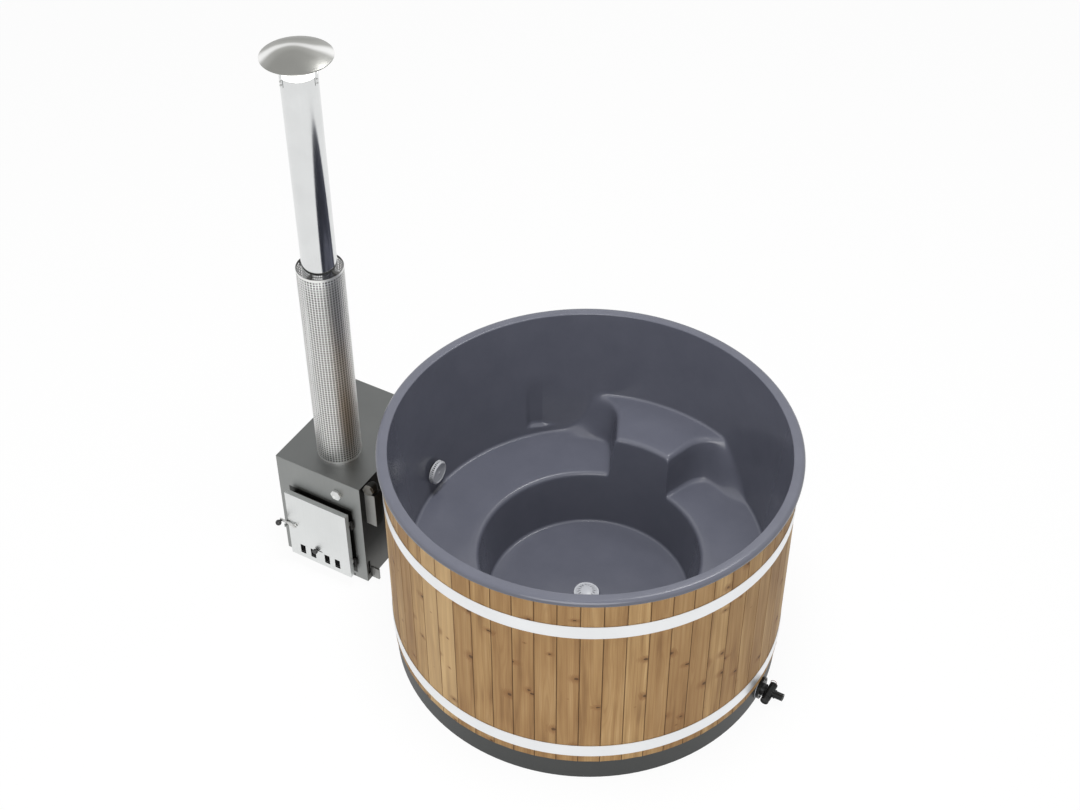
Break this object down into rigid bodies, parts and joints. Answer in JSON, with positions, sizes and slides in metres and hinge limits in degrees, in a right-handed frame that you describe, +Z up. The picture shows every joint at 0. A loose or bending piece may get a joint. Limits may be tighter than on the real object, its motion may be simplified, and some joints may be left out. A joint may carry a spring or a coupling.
{
  "type": "wood-fired hot tub",
  "caption": "Round hot tub: moulded liner with benches and a step in a hooped wooden shell, beside a wood stove with chimney, opening door, latch, air damper and drain valve.",
  "frame": {"origin": "on the ground, on the tub's own axis, in the middle of the base's underside", "axes": "+Z up; -X towards the stove, which stands beside the tub; +X towards the drain valve; -Y the way the stove's door faces"},
  "size_m": [2.3123, 1.7161, 2.5823],
  "materials": {
    "liner_shell": "satin grey moulded plastic",
    "timber_boards": "light thermally treated softwood",
    "hoop_steel": "bright stainless band",
    "zinc_fixings": "plain bright fixings",
    "base_plastic": "dark textured plastic",
    "foam": "rigid foam",
    "post_timber": "planed softwood",
    "pipe_steel": "stainless tube",
    "grille_plastic": "light grey plastic",
    "drain_plastic": "light grey plastic",
    "seal_rubber": "black rubber",
    "valve_plastic": "black plastic",
    "washer_plastic": "light grey plastic",
    "loop_wire": "thin coppery wire",
    "casing_sheet": "satin grey sheet",
    "jacket_plate": "welded plate",
    "cast_grate": "rough cast",
    "plug_steel": "light cast fitting",
    "flue_steel": "bright stainless tube",
    "guard_steel": "bright stainless sheet",
    "cap_steel": "spun stainless sheet",
    "door_sheet": "bright satin stainless sheet",
    "wool": "mineral wool board",
    "rope": "woven glass rope",
    "knob_plastic": "black heat-proof plastic"
  },
  "bodies": {
    "tub": {"liner": "liner_shell", "staves": "timber_boards", "upper_hoop": "hoop_steel", "lower_hoop": "hoop_steel", "hoop_bolts": "zinc_fixings", "hoop_nuts": "zinc_fixings", "base_tray": "base_plastic", "floor_foam": "foam", "bench_posts": "post_timber", "step_posts": "post_timber", "upper_grille": "grille_plastic", "lower_grille": "grille_plastic", "upper_fitting": "valve_plastic", "lower_fitting": "valve_plastic", "fitting_nuts": "pipe_steel", "return_pipe": "pipe_steel", "drain_strainer": "drain_plastic", "drain_body": "drain_plastic", "drain_nut": "drain_plastic", "drain_seal": "seal_rubber", "drain_pipe": "drain_plastic", "valve_washer": "washer_plastic", "valve_body": "valve_plastic", "valve_screws": "zinc_fixings", "valve_end_cap": "valve_plastic", "valve_spigot": "valve_plastic", "casing": "casing_sheet", "casing_top": "casing_sheet", "heater_feet": "seal_rubber", "water_jacket": "jacket_plate", "fire_grate": "cast_grate", "front_plug": "plug_steel", "riser_duct": "plug_steel", "side_plug": "plug_steel", "side_lug": "plug_steel", "upper_hose": "seal_rubber", "lower_hose": "seal_rubber", "hose_clamps": "zinc_fixings", "flue_pipe": "flue_steel", "flue_guard": "guard_steel", "guard_clips": "guard_steel", "rain_cap": "cap_steel", "cap_legs": "flue_steel", "cap_screws": "zinc_fixings", "hinge_brackets": "zinc_fixings", "hinge_pins": "zinc_fixings", "latch_catch": "zinc_fixings"},
    "door": {"door_panel": "door_sheet", "door_inner_plate": "casing_sheet", "door_insulation": "wool", "door_gasket": "rope", "latch_bolt": "zinc_fixings"},
    "damper": {"damper_slide": "casing_sheet", "damper_knob": "knob_plastic"},
    "latch": {"latch_lever": "zinc_fixings", "latch_knob": "knob_plastic"},
    "drain_plug": {"valve_plug": "valve_plastic", "valve_knob": "valve_plastic", "valve_loop": "loop_wire"}
  },
  "joints": [
    {"name": "door_hinge", "type": "hinge", "parent": "tub", "child": "door", "pos_m": [-0.993, -0.312, 0.25], "axis": [0, 0, 1], "range_deg": [0, 110]},
    {"name": "damper_travel", "type": "slide", "parent": "door", "child": "damper", "axis": [1, 0, 0], "range_m": [0, 0.028]},
    {"name": "latch_pivot", "type": "hinge", "parent": "door", "child": "latch", "pos_m": [-1.281, -0.3535, 0.257], "axis": [0, 1, 0], "range_deg": [-6, 60]},
    {"name": "drain_plug_turn", "type": "hinge", "parent": "tub", "child": "drain_plug", "pos_m": [0.8736, 0, 0.051], "axis": [0, 1, 0], "range_deg": [0, 90]}
  ]
}
